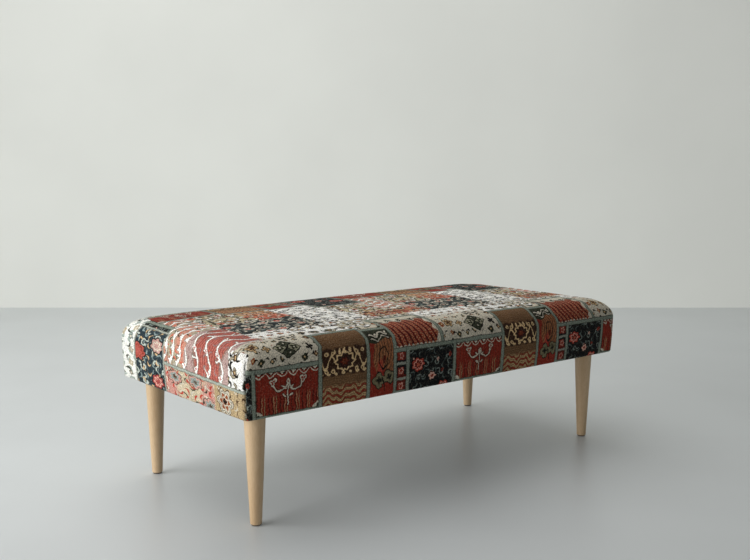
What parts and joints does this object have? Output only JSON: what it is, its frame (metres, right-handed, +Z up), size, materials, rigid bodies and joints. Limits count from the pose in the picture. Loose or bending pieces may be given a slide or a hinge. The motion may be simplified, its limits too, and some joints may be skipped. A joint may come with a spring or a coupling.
{
  "type": "upholstered bench ottoman",
  "caption": "Long low upholstered bench ottoman: patchwork fabric cover over a webbed timber box, on round tapered wooden legs.",
  "frame": {"origin": "on the floor, below the middle of the bench", "axes": "+Z up, +X along the length, +Y across the depth to the back"},
  "size_m": [1.2, 0.575, 0.3978],
  "materials": {
    "cover_fabric": "woven tapestry",
    "wadding": "loose polyester fibre",
    "foam": "open-cell foam",
    "hessian": "coarse plain weave",
    "webbing": "elastic woven strap",
    "frame_timber": "sawn and planed pine",
    "leg_wood": "satin clear varnish on pale wood",
    "fitting_steel": "zinc plated",
    "glide_plastic": "moulded brown",
    "dust_cloth": "thin non-woven"
  },
  "bodies": {
    "root": {"seat_cover": "cover_fabric", "seat_wadding": "wadding", "seat_foam": "foam", "hessian_sheet": "hessian", "webbing_long_1": "webbing", "webbing_long_2": "webbing", "webbing_long_3": "webbing", "webbing_long_4": "webbing", "webbing_cross_1": "webbing", "webbing_cross_2": "webbing", "webbing_cross_3": "webbing", "webbing_cross_4": "webbing", "webbing_cross_5": "webbing", "webbing_cross_6": "webbing", "webbing_cross_7": "webbing", "webbing_cross_8": "webbing", "webbing_cross_9": "webbing", "rail_front": "frame_timber", "rail_back": "frame_timber", "rail_left": "frame_timber", "rail_right": "frame_timber", "cross_rail_left": "frame_timber", "cross_rail_right": "frame_timber", "corner_block_front_left": "frame_timber", "corner_block_front_right": "frame_timber", "corner_block_back_left": "frame_timber", "corner_block_back_right": "frame_timber", "frame_dowels": "leg_wood", "corner_block_screws": "fitting_steel", "leg_plate_front_left": "fitting_steel", "leg_plate_front_right": "fitting_steel", "leg_plate_back_left": "fitting_steel", "leg_plate_back_right": "fitting_steel", "leg_plate_screws": "fitting_steel", "leg_bolt_front_left": "fitting_steel", "leg_bolt_front_right": "fitting_steel", "leg_bolt_back_left": "fitting_steel", "leg_bolt_back_right": "fitting_steel", "leg_front_left": "leg_wood", "leg_front_right": "leg_wood", "leg_back_left": "leg_wood", "leg_back_right": "leg_wood", "glide_front_left": "glide_plastic", "glide_front_right": "glide_plastic", "glide_back_left": "glide_plastic", "glide_back_right": "glide_plastic", "dust_cover": "dust_cloth", "dust_cover_staples": "fitting_steel"}
  },
  "joints": []
}
